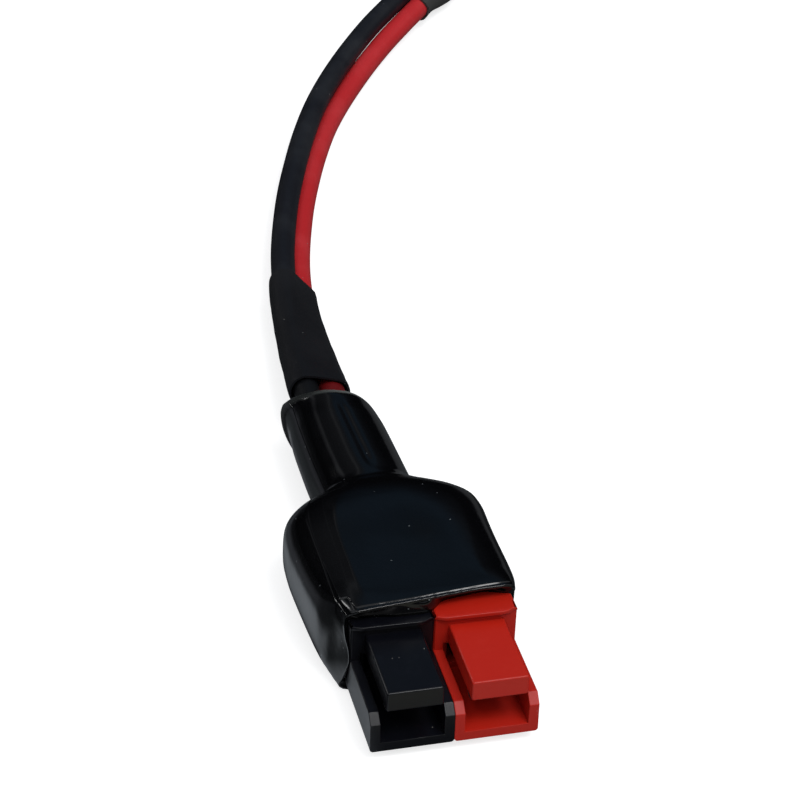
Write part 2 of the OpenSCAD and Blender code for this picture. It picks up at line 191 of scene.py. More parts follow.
def join(surface, socket, value):
    surface.id_data.links.new(value, surface.inputs[socket])


def maths(add, operation, first, second=0.0):
    return add("Math", {0: first, 1: second}, operation=operation).outputs[0]


def between(add, value, low, high, start=0, end=1, soft=False):
    """Number that goes from low to high as the value goes from start to end."""
    return add("MapRange", {"Value": value, "From Min": start, "From Max": end,
                            "To Min": low, "To Max": high},
               interpolation_type="SMOOTHSTEP" if soft else "LINEAR").outputs[0]


def mixed(add, share, first, second, way="MIX"):
    """Colour between two colours, each three numbers or another node's output."""
    first, second = (c if isinstance(c, bpy.types.NodeSocket) else (*c, 1)
                     for c in (first, second))
    return add("Mix", {0: share, 6: first, 7: second}, data_type="RGBA",
               blend_type=way).outputs[2]


def cloudy(add, where, scale, detail, stretched=None, **more):
    """Noise, with a scale of its own along each axis where stretched gives them."""
    if stretched:
        where = add("Mapping", {"Vector": where, "Scale": stretched}).outputs[0]
    return add("TexNoise", {"Vector": where, "Scale": scale, "Detail": detail,
                            **more}).outputs[0]


def embossed(surface, add, *layers):
    """Bumps one over the other, each a height, its strength and its depth in mm."""
    below = {}
    for height, strength, depth in layers:
        bump = add("Bump", {"Height": height, "Strength": strength, "Distance": depth * MM,
                            **below})
        below = {"Normal": bump.outputs[0]}
    join(surface, "Normal", bump.outputs[0])


def spots(add, where, size, share):
    """1 on a few small specks of dust, and 0 elsewhere."""
    cells = add("TexVoronoi", {"Vector": where, "Scale": 1 / (size * 9 * MM)})
    speck = between(add, cells.outputs["Distance"], 0, 1, 0.1, 0.06)
    draw = add("SeparateColor", {0: cells.outputs["Color"]}).outputs[0]
    return maths(add, "MULTIPLY", speck, maths(add, "LESS_THAN", draw, share))


def insulation(name, colour, worn, roughness):
    """Soft extruded vinyl: fine lines along the wire, smudges, a little dust, and painted shade
    on the wires before the lower sleeve, where the sleeve and the boot's neck shade them."""
    made, surface, add = finish(name, colour, roughness)
    where = add("UVMap", uv_map="round_and_along").outputs[0]
    body = add("TexCoord").outputs["Object"]
    lines = cloudy(add, where, 1, 3, stretched=(9000, 260, 1))
    smudge = cloudy(add, body, 130, 4, Roughness=0.6)
    dust = spots(add, body, 0.09, 0.10)
    tint = mixed(add, between(add, smudge, 0, 1, 0.45, 0.75), colour, worn)
    dusty = mixed(add, dust, tint, (0.25, 0.24, 0.23))
    # painted shade: the wires are darker in front of the lower sleeve, where the sleeve and the
    # neck shade them
    painted_sleeve_shade = between(add, add("SeparateXYZ", {0: body}).outputs["Y"], 0.25, 1, 0.030, 0.034)
    join(surface, "Base Color", mixed(add, 1.0, dusty, painted_sleeve_shade, "MULTIPLY"))
    surface.inputs["Specular IOR Level"].default_value = 0.3
    join(surface, "Roughness", between(add, smudge, roughness - 0.1, roughness + 0.14))
    embossed(surface, add, (lines, 0.35, 0.012), (smudge, 0.5, 0.10))
    return made


pair = smooth_line(pair_route, steps_per_row)
pair_line, pair_turn, pair_half = pair[:, :3], np.radians(pair[:, 3]), pair[:, 4]
_, pair_left, pair_up = sides_of(pair_line)
pair_side = (pair_left * np.cos(pair_turn)[:, None] + pair_up * np.sin(pair_turn)[:, None])
round_wire = np.arange(wire_sides) / wire_sides * 2 * math.pi
black_vinyl = insulation("black_insulation", (0.0068, 0.0078, 0.0112), (0.017, 0.019, 0.023),
                         0.45)
red_vinyl = insulation("red_insulation", (0.45, 0.018, 0.022), (0.50, 0.036, 0.042), 0.42)
for colour, side, material in (("black", 1, black_vinyl), ("red", -1, red_vinyl)):
    line = pair_line + side * pair_half[:, None] * pair_side
    wobble = np.array([noise_at(i * 0.11, np.cos(round_wire) * 0.8 + side * 7,
                                np.sin(round_wire) * 0.8) for i in range(len(line))])
    wire = tube(colour + "_wire_insulated", line, wire_d / 2 - wire_under + wire_uneven * wobble)
    wire.data.materials.append(material)
    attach(wire, "root")
    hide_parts(colour + "_wire")


# Two core lead
# Both cores in one round satin jacket. It runs straight on from the upper sleeve, is
# wound into a coil two turns wide and two turns high, and ends in the coil's eye.
lead_d = 6.2
lead_r = lead_d / 2
lead_sides = 32
lead_from = np.array([37.6, 128.0])
lead_high, lead_low = 3.5, lead_r
lead_angle = math.atan2(7.0, 5.6)
run_steps = (0.08, 4, 8, 13, 16, 19, 23, 27, 32)
run_length, sleeve_on_lead, run_lands = 37, 13, 23  # it comes down to the table by run_lands
coil_r, inner_r = 37.1, 30.9
turn_step, coil_turn = 10, 1140
up_at, in_at, down_at = (280, 340), (575, 635), (870, 930)  # degrees wound by then
tail_r, tail_turn = 25, 130
tail_start = lead_angle + math.radians(60 - 90)


def eased(x, low, high):
    """0 before low, 1 after high, and a soft step between them."""
    t = np.clip((x - low) / (high - low), 0, 1)
    return t * t * (3 - 2 * t)


def heading(angle):
    return np.array([math.cos(angle), math.sin(angle)])


coil_at = lead_from + run_length * heading(lead_angle) + coil_r * heading(lead_angle + math.pi / 2)
tail_at = coil_at + (inner_r - tail_r) * heading(tail_start)
lead_line = [[*(lead_from + s * heading(lead_angle)),
              lead_high - (lead_high - lead_low) * eased(s, sleeve_on_lead, run_lands)]
             for s in run_steps]
for turn in range(0, coil_turn + 1, turn_step):  # degrees wound so far
    # it goes up to the second layer, in to the inner turns and down again
    radius = coil_r - (coil_r - inner_r) * eased(turn, *in_at)
    height = lead_low + lead_d * (eased(turn, *up_at) - eased(turn, *down_at))
    wound = lead_angle - math.pi / 2 + math.radians(turn)
    lead_line.append([*(coil_at + radius * heading(wound)), height])
for turn in range(turn_step, tail_turn + 1, turn_step):
    lead_line.append([*(tail_at + tail_r * heading(tail_start + math.radians(turn))), lead_low])
lead_line = smooth_line(np.array(lead_line), 2)
jacket = insulation("lead_jacket", (0.011, 0.011, 0.0125), (0.026, 0.026, 0.027), 0.5)
lead = tube("lead_in_jacket", lead_line, lead_r - 0.01, lead_sides)
lead.data.materials.append(jacket)
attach(lead, "root")
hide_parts("lead_run", "lead_coil", "lead_tail")


# Core ends and their tinned tips
# The last 22 mm of both cores are bared of the jacket, and their strands are dipped
# in solder, ready for a terminal.
core_gap = 1.6
core_turn = 22 / tail_r
tip_turn = 4 / tail_r
tip_d = 1.9
core_rings, tip_rings = 16, 11
tinned, surface, add = finish("tinned_strands", (0.66, 0.66, 0.64), 0.34)
surface.inputs["Metallic"].default_value = 1
where = add("UVMap", uv_map="round_and_along").outputs[0]
where = add("Mapping", {"Vector": where, "Scale": (2600, 900, 1)}).outputs[0]
lay = add("TexWave", {"Vector": where, "Scale": 0.35, "Distortion": 1.2, "Detail": 2},
          wave_profile="SIN").outputs[1]
embossed(surface, add, (lay, 0.8, 0.08))
join(surface, "Roughness", between(add, lay, 0.28, 0.46))


def tail_arc(radius, first, last, count):
    """Points on from the jacket's end, along an arc of the tail."""
    start = tail_start + math.radians(tail_turn)
    return np.array([[*(tail_at + radius * heading(start + a)), lead_low]
                     for a in np.linspace(first, last, count)])


for colour, side, material in (("black", 1, black_vinyl), ("red", -1, red_vinyl)):
    radius = tail_r - side * core_gap
    core = tube(colour + "_core_bared", tail_arc(radius, 0, core_turn, core_rings),
                wire_d / 2 - 0.01)
    core.data.materials.append(material)
    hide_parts(colour + "_core")
    girth = np.array([0.5 * tip_d * (1 - 0.35 * eased(i, 8, 10))
                      + 0.05 * np.cos(7 * round_wire + 0.6 * i) for i in range(tip_rings)])
    tip = tube(colour + "_tip_tinned",
               tail_arc(radius, core_turn, core_turn + tip_turn, tip_rings), girth)
    tip.data.materials.append(tinned)
    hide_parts(colour + "_tip")
    for piece in (core, tip):
        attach(piece, "root")


# Shrink sleeves
# Thin polyolefin tube, slid on and shrunk with hot air. The lower one grips both wires
# behind the boot; the upper one covers the place where they leave the jacket.
sleeve_t = 0.3
pair_reach = 1.38
wire_bore = 1.45
lower_rows, upper_rows = (9, 14), (25, 27)
lead_bore = (lead_r + 0.01) / math.cos(math.pi / 16)
ring_sides = 56
end_ragged, crinkled = 0.35, 0.07  # mm
drawn_in, cut_rounded = 0.035, 0.15  # share of its height between the wires, and of its wall


def shrunk(name, line, side, reach, bore, wall):
    """Sleeve along a line: flat sided where it holds two wires, round where reach is 0."""
    along, _, _ = sides_of(line)
    up = np.cross(along, side)
    a = np.arange(ring_sides) / ring_sides * 2 * math.pi
    count = len(line)
    rings = []
    for layer, order in ((1, range(count)), (0, range(count - 1, -1, -1))):
        for i in order:
            r = bore[i] + layer * wall
            flat = np.clip(3 * np.cos(a), -1, 1)
            waist = 1 - drawn_in * min(1, reach[i] / pair_reach) * (1 - np.abs(flat))
            crinkle = noise_at(i * 0.35, 1.6 * np.cos(a), 1.6 * np.sin(a) + count)
            crinkle = crinkle * crinkled * layer
            sideways = reach[i] * flat + (r + crinkle) * np.cos(a)
            upwards = (r * waist + crinkle) * np.sin(a)
            cut = 0 * a
            if i in (0, count - 1):
                cut = end_ragged * noise_at(np.cos(a) * 1.3, np.sin(a) * 1.3, i + 3.0)
            rings.append(line[i] + sideways[:, None] * side[i] + upwards[:, None] * up[i]
                         + cut[:, None] * along[i])
    rings = np.array(rings)
    # both cut edges are only just rounded
    for edge in (0, count - 1):
        twin = 2 * count - 1 - edge
        middle = (rings[edge] + rings[twin]) / 2
        rings[edge] += (middle - rings[edge]) * cut_rounded
        rings[twin] += (middle - rings[twin]) * cut_rounded
    piece = skin(name, rings, closed=True)
    cuts = (0, count - 1, count, 2 * count - 1)
    for edge in piece.data.edges:
        one, other = (v // ring_sides for v in edge.vertices)
        edge.use_edge_sharp = one == other and one in cuts
    return piece


def shrink_tube(name, colour, worn):
    """Matt polyolefin: shallow wrinkles, paler where it was rubbed, and a little dust."""
    made, surface, add = finish(name, colour, 0.5)
    body = add("TexCoord").outputs["Object"]
    wrinkle = cloudy(add, body, 420, 5, Roughness=0.55)
    patch = cloudy(add, body, 90, 3)
    tint = mixed(add, between(add, patch, 0, 1, 0.4, 0.7), colour, worn)
    join(surface, "Base Color", mixed(add, spots(add, body, 0.08, 0.12), tint, (0.2, 0.2, 0.19)))
    join(surface, "Roughness", between(add, patch, 0.42, 0.62))
    surface.inputs["Specular IOR Level"].default_value = 0.3
    embossed(surface, add, (wrinkle, 0.35, 0.12))
    return made


first, last = (r * steps_per_row for r in lower_rows)
line = pair_line[first:last + 1]
share = np.linspace(1, 0, len(line))
flare = 0.03 * np.exp(-np.arange(len(line)) / 2.0)
lower = shrunk("lower_shrink_sleeve", line, pair_side[first:last + 1],
               np.full(len(line), pair_reach), wire_bore + 0.18 * share + flare, sleeve_t - 0.02)
first, last = (r * steps_per_row for r in upper_rows)
on_lead = np.array([[*(lead_from + s * heading(lead_angle)), lead_high]
                    for s in np.linspace(0, sleeve_on_lead, 12)[1:]])
line = np.vstack([pair_line[first:last + 1], on_lead])
share = np.concatenate([np.linspace(1, 0, last - first + 1), np.zeros(len(on_lead))])
side = np.vstack([pair_side[first:last + 1], np.tile(pair_side[last], (len(on_lead), 1))])
side = unit(side - (side * sides_of(line)[0]).sum(1, keepdims=True) * sides_of(line)[0])
upper = shrunk("upper_shrink_sleeve", line, side, pair_reach * share,
               lead_bore + (wire_bore - lead_bore) * eased(share, 0, 1), sleeve_t)
for sleeve, node, colour, worn in (
        (lower, "lower_sleeve", (0.0048, 0.0052, 0.0068), (0.009, 0.0095, 0.0115)),
        (upper, "upper_sleeve", (0.036, 0.036, 0.035), (0.050, 0.050, 0.047))):
    sleeve.data.materials.append(shrink_tube(sleeve.name.replace("_sleeve", ""), colour, worn))
    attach(sleeve, "root")
    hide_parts(node)


# Connector housings
# Both are the same moulding in polycarbonate, one black and one red, slid together by
# the dovetail on their sides. The mould leaves a fine grain and slightly soft edges.
edge_ease = 0.07
housing_front, block_front, block_top = -24.3, 8.4, 9.05
visor_h, visor_out, visor_parts = 0.4, (0.35, 0.5), 16
tongue_top, tongue_out, root_fillet = 7.92, 0.25, 0.42
corner_round, tongue_round = 4, 2.5  # times the other edges' ease
on_plane, upright_least, crowd = 0.02, 1.5, 0.1  # mm
eased_from, creased_from = 28, 38  # degrees between two faces


def behind_front(corner):
    """How far a mesh's corner is behind the hoods' front, and how high, in mm."""
    return corner.co.y / MM - housing_front, corner.co.z / MM


def visor_faces(shape, lowest):
    """Faces of the block's front that reach its top edge, and no lower than lowest."""
    return [f for f in shape.faces if f.normal.y < -0.99
            and abs(f.calc_center_median().y / MM - housing_front - block_front) < on_plane
            and max(v.co.z for v in f.verts) / MM > block_top - 0.3
            and min(v.co.z for v in f.verts) / MM > lowest]


def place_of(part):
    """Middle of a mesh's corner, edge or face, in mm."""
    corners = [part] if isinstance(part, bmesh.types.BMVert) else part.verts
    return [round(sum(v.co[axis] for v in corners) / len(corners) / MM, 4) for axis in range(3)]


def dress_block(shape):
    """Makes the plain corner where the tongue meets the block, and the small visor along
    the top of the block's face, which fades out at its ends."""
    for v in shape.verts:
        y, z = behind_front(v)
        if (block_front - root_fillet < y < block_front + 0.01
                and tongue_top - 0.005 < z < tongue_top + root_fillet):
            v.co.y, v.co.z = (housing_front + block_front) * MM, tongue_top * MM
    bmesh.ops.remove_doubles(shape, verts=shape.verts, dist=2e-6)
    bmesh.ops.dissolve_degenerate(shape, edges=shape.edges, dist=1e-6)
    shape.normal_update()
    face = max(visor_faces(shape, -1), key=lambda f: f.calc_area())
    left = min(v.co.x for v in face.verts)
    right = max(v.co.x for v in face.verts)
    visor_foot = block_top - visor_h
    cuts = [((0, 0, visor_foot * MM), (0, 0, 1))]
    cuts += [((x, 0, 0), (1, 0, 0)) for x in np.linspace(left, right, visor_parts + 1)[1:-1]]
    for i, (place, normal) in enumerate(cuts):
        strip = [face] if i == 0 else visor_faces(shape, visor_foot - 0.01)
        around = dict.fromkeys(part for f in strip for part in (f, *f.edges, *f.verts))
        bmesh.ops.bisect_plane(shape, geom=list(around), dist=1e-8, plane_co=place,
                               plane_no=normal)
    strip = visor_faces(shape, visor_foot - 0.01)
    grown = bmesh.ops.extrude_face_region(shape, geom=strip)
    for v in grown["geom"]:
        if isinstance(v, bmesh.types.BMVert):
            t = (v.co.x - left) / (right - left)
            v.co.y -= (visor_out[0] + (visor_out[1] - visor_out[0]) * t) * MM * (
                0.04 + 0.96 * eased(t, 0, 0.12) * (1 - eased(t, 0.84, 0.98)))
    bmesh.ops.delete(shape, geom=strip, context="FACES")
    shape.normal_update()
    # the new faces come in any order, so each part is put in the order of its place
    for parts in (shape.verts, shape.edges, shape.faces):
        for i, part in enumerate(sorted(parts, key=place_of)):
            part.index = i
        parts.sort()


def softened(node, name, ease, front_round=1.0):
    """Copy of a rigid node with its facets joined into faces and its outer edges eased.
    The upright front corners of a housing's block are rounded that many times more, and
    the front edges of its tongue a little more."""
    shape = bmesh.new()
    shape.from_mesh(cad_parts[node].data)
    bmesh.ops.remove_doubles(shape, verts=shape.verts, dist=2e-6)
    bmesh.ops.dissolve_limit(shape, angle_limit=math.radians(0.6), use_dissolve_boundaries=False,
                             verts=shape.verts, edges=shape.edges)
    if front_round > 1:
        dress_block(shape)
    weight = shape.edges.layers.float.new("bevel_weight_edge")
    for edge in shape.edges:
        sharp = edge.calc_face_angle(0) > math.radians(eased_from)
        # a short edge where many others end would tear if it were rounded
        crowded = (edge.calc_length() < crowd * MM
                   and sum(len(v.link_edges) for v in edge.verts) > 6)
        places = [behind_front(v) for v in edge.verts]
        upright = (all(abs(y - block_front) < on_plane for y, _ in places)
                   and abs(places[0][1] - places[1][1]) > upright_least)
        worn = tongue_round if all(abs(y + tongue_out) < on_plane for y, _ in places) else 1
        if sharp and edge.is_convex and not crowded:
            edge[weight] = 1 if upright else worn / front_round
    mesh = bpy.data.meshes.new(name)
    shape.to_mesh(mesh)
    shape.free()
    mesh.materials.clear()
    for face in mesh.polygons:
        face.use_smooth = True
    piece = bpy.data.objects.new(name, mesh)
    bpy.context.scene.collection.objects.link(piece)
    bevel = piece.modifiers.new("eased edges", "BEVEL")
    bevel.width = ease * front_round * MM
    bevel.segments = 3
    bevel.limit_method = "WEIGHT"
    bevel.use_clamp_overlap = False
    bpy.context.view_layer.update()
    piece.data = bpy.data.meshes.new_from_object(
        piece.evaluated_get(bpy.context.evaluated_depsgraph_get()))
    piece.modifiers.clear()
    piece.data.set_sharp_from_angle(angle=math.radians(creased_from))
    flat = piece.modifiers.new("flat faces", "WEIGHTED_NORMAL")
    flat.keep_sharp = True
    flat.weight = 100
    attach(piece, "root")
    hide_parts(node)
    return piece


def moulded(name, colour, pale, roughness):
    """Moulded polycarbonate: fine grain, faint flow marks, and dust in a few places."""
    made, surface, add = finish(name, colour, roughness)
    body = add("TexCoord").outputs["Object"]
    grain = cloudy(add, body, 9000, 2)
    flow = cloudy(add, body, 160, 4, stretched=(1, 0.35, 1), Distortion=0.6)
    rub = cloudy(add, body, 700, 6, Roughness=0.7)
    dust = spots(add, body, 0.07, 0.10)
    tint = mixed(add, between(add, rub, 0, 0.5, 0.55, 0.8), colour, pale)
    join(surface, "Base Color", mixed(add, dust, tint, (0.35, 0.33, 0.31)))
    join(surface, "Roughness", between(add, flow, roughness - 0.08, roughness + 0.1))
    surface.inputs["Specular IOR Level"].default_value = 0.4
    embossed(surface, add, (grain, 0.12, 0.02), (flow, 0.25, 0.06))
    return made


for colour, base, pale, roughness in (
        ("black", (0.0022, 0.0024, 0.0042), (0.007, 0.0075, 0.011), 0.30),
        ("red", (0.43, 0.0125, 0.0050), (0.46, 0.022, 0.012), 0.40)):
    housing = softened(colour + "_housing", colour + "_housing_moulded", edge_ease, corner_round)
    housing.data.materials.append(moulded(colour + "_polycarbonate", base, pale, roughness))


# Crimp contacts, springs and retaining pin
# Tin plated copper contacts are crimped to the wires and snap over flat stainless
# springs in the housings. A split steel pin keeps the two housings from sliding apart.
def bright_metal(name, colour, roughness, scratches):
    """Bare metal with fine drawn lines, and dull in places."""
    made, surface, add = finish(name, colour, roughness)
    surface.inputs["Metallic"].default_value = 1
    body = add("TexCoord").outputs["Object"]
    drawn = cloudy(add, body, 1, 5, stretched=scratches, Roughness=0.7)
    dull = cloudy(add, body, 500, 3)
    join(surface, "Base Color", mixed(add, dull, colour, [c * 0.7 for c in colour]))
    join(surface, "Roughness", between(add, dull, roughness - 0.1, roughness + 0.15))
    embossed(surface, add, (drawn, 0.3, 0.02))
    return made


tin = bright_metal("tin_plate", (0.68, 0.68, 0.65), 0.32, (5200, 500, 5200))
steel = bright_metal("stainless_steel", (0.58, 0.58, 0.57), 0.26, (6000, 420, 6000))
pin_steel = bright_metal("pin_steel", (0.5, 0.5, 0.5), 0.35, (4000, 4000, 600))
for node, name, material, slot, ease in (
        ("black_contact", "black_crimp_contact", tin, "tinned_copper", 0.06),
        ("red_contact", "red_crimp_contact", tin, "tinned_copper", 0.06),
        ("black_spring", "black_contact_spring", steel, "steel", 0.03),
        ("red_spring", "red_contact_spring", steel, "steel", 0.03),
        ("retaining_pin", "split_retaining_pin", pin_steel, "steel", 0.05)):
    piece = softened(node, name, ease)
    piece.data.materials.append(material)


# Bared strands
# Nineteen bare copper wires of each core, laid in two rings round a middle one, go
# from the cut end of the insulation into the crimp barrel.
axis_z = 5.1
strand_d = 0.54
strand_y = (-7.9, -2.9)
copper, surface, add = finish("bare_copper", (0.72, 0.36, 0.19), 0.3)
surface.inputs["Metallic"].default_value = 1
tarnish = cloudy(add, add("TexCoord").outputs["Object"], 900, 4)
join(surface, "Base Color", mixed(add, tarnish, (0.75, 0.40, 0.22), (0.5, 0.2, 0.1)))
join(surface, "Roughness", between(add, tarnish, 0.2, 0.45))
for colour, x in (("black", -3.45), ("red", 4.45)):
    bundle = bmesh.new()
    for ring, count in ((0, 1), (1, 6), (2, 12)):
        for k in range(count):
            turn = np.linspace(0, 0.9, 9) + k / count * 2 * math.pi
            line = np.stack([x + ring * strand_d * np.cos(turn), np.linspace(*strand_y, 9),
                             axis_z + ring * strand_d * np.sin(turn)], 1)
            strand = tube("strand", line, strand_d / 2 * 0.98, 10)
            bundle.from_mesh(strand.data)
            mesh = strand.data
            bpy.data.objects.remove(strand)
            bpy.data.meshes.remove(mesh)
    mesh = bpy.data.meshes.new(colour + "_bare_strands")
    bundle.to_mesh(mesh)
    bundle.free()
    mesh.shade_smooth()
    mesh.materials.append(copper)
    piece = bpy.data.objects.new(colour + "_bare_strands", mesh)
    bpy.context.scene.collection.objects.link(piece)
    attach(piece, "root")
    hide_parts(colour + "_strands")


# Boot
# One soft black vinyl shell, dip moulded and very glossy. It is pulled over the rear of
# both housings, whose ribs and corners press through it, and its neck holds the wires.
pitch = 7.9
boot_rows = np.array([  # place, reach left, right, below and above, power, centre x and z
    (7.0, 7.5, 7.9, 5.1, 5.38, 16, 0.5, axis_z), (8.4, 7.96, 8.0, 5.15, 5.5, 16, 0.5, axis_z),
    (9.6, 8.3, 8.1, 5.15, 5.6, 15, 0.5, axis_z), (11.0, 8.76, 8.4, 5.2, 5.65, 10, 0.5, axis_z),
    (12.3, 9.3, 8.8, 5.2, 5.65, 6.6, 0.5, axis_z), (13.8, 9.82, 9.1, 5.2, 5.65, 4.9, 0.5, axis_z),
    (17.0, 10.25, 9.3, 5.2, 5.65, 4.0, 0.5, axis_z),
    (21.0, 10.5, 9.35, 5.2, 5.65, 3.7, 0.5, axis_z),
    (23.5, 10.6, 9.45, 5.2, 5.6, 3.5, 0.5, axis_z),
    (25.5, 10.55, 9.55, 5.2, 5.49, 3.3, 0.5, axis_z),
    (27.2, 10.25, 9.5, 5.2, 5.34, 3.0, 0.5, axis_z),
    (28.5, 9.35, 9.0, 5.15, 5.15, 2.7, 0.37, axis_z),
    (29.4, 8.15, 8.0, 5.13, 4.96, 2.5, 0.23, axis_z),
    (30.1, 6.8, 6.7, 5.1, 4.84, 2.4, 0.1, axis_z), (30.8, 5.5, 5.5, 5.05, 4.84, 2.3, 0.0, 5.0),
    (31.8, 4.95, 4.95, 4.95, 4.82, 2.25, -0.15, 5.0),
    (36.0, 4.9, 4.9, 4.85, 4.75, 2.25, -0.35, 5.05), (42.0, 4.7, 4.9, 4.8, 4.7, 2.2, -0.6, 5.1),
    (44.0, 4.5, 4.8, 4.77, 4.66, 2.15, -0.68, 5.13),
    (44.9, 4.48, 4.7, 4.76, 4.66, 2.1, -0.7, 5.15),
    (45.4, 4.62, 4.6, 4.76, 4.62, 2.1, -0.74, 5.15),
    (45.9, 4.70, 4.42, 4.7, 4.48, 2.1, -0.76, 5.15),
    (46.3, 4.62, 4.15, 4.6, 4.27, 2.1, -0.78, 5.15),
    (46.6, 4.4, 3.85, 4.4, 4.0, 2.1, -0.78, 5.15)])
foot_rows = np.array([  # angle round the section, and where the rim meets the housings there
    (0, 13.3), (25, 12.9), (40, 11.4), (46, 10.5), (55.7, 11.1), (66, 10.9), (81, 10.5),
    (86.7, 9.72), (90, 9.3), (93, 9.05), (98, 9.0), (112, 9.05), (124, 9.4), (135, 9.6),
    (145, 9.5), (152, 9.3), (167, 8.6), (180, 8.5), (190, 8.7), (216, 9.7), (228, 10.5),
    (240, 10.4), (270, 10.4), (300, 10.6), (330, 12.1), (345, 13.0), (360, 13.3)])
edge_rows = np.array([  # the rim's front edge
    (0, 13.2), (25, 12.8), (40, 11.3), (48, 10.3), (53, 9.85), (60, 9.75), (67, 9.75), (76, 9.6),
    (86.5, 9.38), (96, 9.2), (106, 9.01), (117, 8.8), (122.6, 8.68), (126, 8.72), (130, 9.1),
    (135, 9.5), (145, 9.4), (152, 9.2), (167, 8.5), (180, 8.4), (190, 8.6), (216, 9.6),
    (228, 10.4), (240, 10.3), (270, 10.3), (300, 10.5), (330, 12.0), (345, 12.9), (360, 13.2)])
step_rows = np.array([  # the step behind it, which has a notch near the left corner, and its drop
    (0, 13.7, 0), (25, 13.3, 0), (40, 11.9, 0), (48, 10.9, 0), (53, 10.45, 0.02),
    (57, 10.25, 0.09), (60, 10.17, 0.14), (66, 10.1, 0.15), (75, 9.95, 0.13), (86, 9.76, 0.10),
    (96, 9.55, 0.095), (105, 9.4, 0.095), (116, 9.28, 0.10), (121, 9.22, 0.11),
    (122.8, 9.18, 0.10), (123.4, 9.25, 0.075), (123.75, 9.55, 0.065), (124.0, 10.05, 0.065),
    (124.25, 10.5, 0.07), (124.7, 10.78, 0.09), (125.3, 10.9, 0.12), (127, 10.97, 0.13),
    (129, 11.0, 0.12), (132, 11.0, 0.10), (138, 10.9, 0.05), (142, 10.5, 0), (145, 10.3, 0),
    (160, 9.6, 0), (170, 9.2, 0), (190, 9.3, 0), (216, 10.2, 0), (228, 11.0, 0), (240, 10.9, 0),
    (270, 10.9, 0), (300, 11.1, 0), (330, 12.6, 0), (345, 13.4, 0), (360, 13.7, 0)])
neck_end_rows = np.array([  # angle, and how far the neck's uneven cut stands out there
    (0, -0.2), (50, 0), (85, 0.15), (105, 0.8), (125, 1.9), (150, 2.9), (175, 3.1), (210, 2.4),
    (240, 0.9), (270, 0.3), (360, -0.2)])
creases = (  # place from the hoods' front and x of each crease, its height and its width
    (np.array([(9.5, -5.5), (12.7, -5.6), (14, -5.76), (18, -5.81), (21.2, -5.76),
               (24.7, -5.2), (27, -4.4)]), 0.15, 0.9),
    (np.array([(10.9, -7.75), (11.5, -7.73), (15, -7.78), (19.8, -7.97), (24.7, -8.0),
               (27.5, -7.25)]), 0.16, 0.7),
    (np.array([(10, 6.0), (14, 6.0), (18.6, 6.47), (23.5, 6.78), (27, 6.0)]), 0.10, 1.2))
swells = (  # the wires press through the neck: degrees, width and height
    (112, 13, 0.08), (78, 12, 0.05), (88.5, 2.6, -0.12))
angle_steps = (  # degrees, and the step from there on, which is fine round the notch
    (0, 3), (48, 1.2), (120, 0.4), (122.8, 0.12), (123.4, 0.06), (124.7, 0.12), (125.6, 0.3),
    (131, 1.5), (150, 3), (360, None))
angles = np.radians(np.concatenate([np.arange(start, end, by) for (start, by), (end, _)
                                    in zip(angle_steps, angle_steps[1:])]))
degrees = np.degrees(angles)
# places where the creases and the swells of the neck fade in, and out again
creased, necked = (9.6, 12, 24.5, 27.5), (31.5, 34, 42.5, 44.5)
turned = 21.0  # behind this place the rings stand square, and before it they follow the mouth
housed = 24.9  # up to this place the housings fill the boot
inside_from, inside_to = 24.8, 0.9  # straight part of the inside, to this far behind the foot
shell_t, neck_t = 0.95, 1.3
rim_round = 0.13  # from the rim's front edge back to the outside
rim_height, rim_flare = 0.84, 5  # share of the rim's width below its rounding, and its power
cut_rings = (-17, 2)  # first and last ring of the neck's cut, from the end of the outside


def table(rows, column, x):
    """Smooth curve through one column of a table that never overshoots its values."""
    xs, ys = rows[:, 0], rows[:, column]
    h = np.diff(xs)
    slope = np.diff(ys) / h
    both = slope[:-1] + slope[1:]
    tangent = np.zeros(len(xs))
    tangent[1:-1] = np.where(slope[:-1] * slope[1:] > 0,
                             2 * slope[:-1] * slope[1:] / np.where(both == 0, 1, both), 0)
    x = np.clip(x, xs[0], xs[-1])
    i = np.clip(np.searchsorted(xs, x) - 1, 0, len(h) - 1)
    t = (x - xs[i]) / h[i]
    return (ys[i] * (2 * t**3 - 3 * t**2 + 1) + tangent[i] * h[i] * (t**3 - 2 * t**2 + t)
            + ys[i + 1] * (3 * t**2 - 2 * t**3) + tangent[i + 1] * h[i] * (t**3 - t**2))


def section(y):
    """How far the boot's outside is along each angle's ray, and the section's centre."""
    ca, sa = np.cos(angles), np.sin(angles)
    n = table(boot_rows, 5, y)
    a = np.where(ca < 0, table(boot_rows, 1, y), table(boot_rows, 2, y))
    h = np.where(sa < 0, table(boot_rows, 3, y), table(boot_rows, 4, y))
    k = ((np.abs(pitch * ca) / a)**n + (np.abs(pitch / 2 * sa) / h)**n)**(-1 / n)
    return k, table(boot_rows, 6, y), table(boot_rows, 7, y)


def around(k, cx, cz):
    """Points of a section whose rays have the lengths k."""
    return cx + k * pitch * np.cos(angles), cz + k * pitch / 2 * np.sin(angles)


def neck_cut(y):
    return np.interp(degrees, *neck_end_rows.T) * eased(y, 38, 45.5)


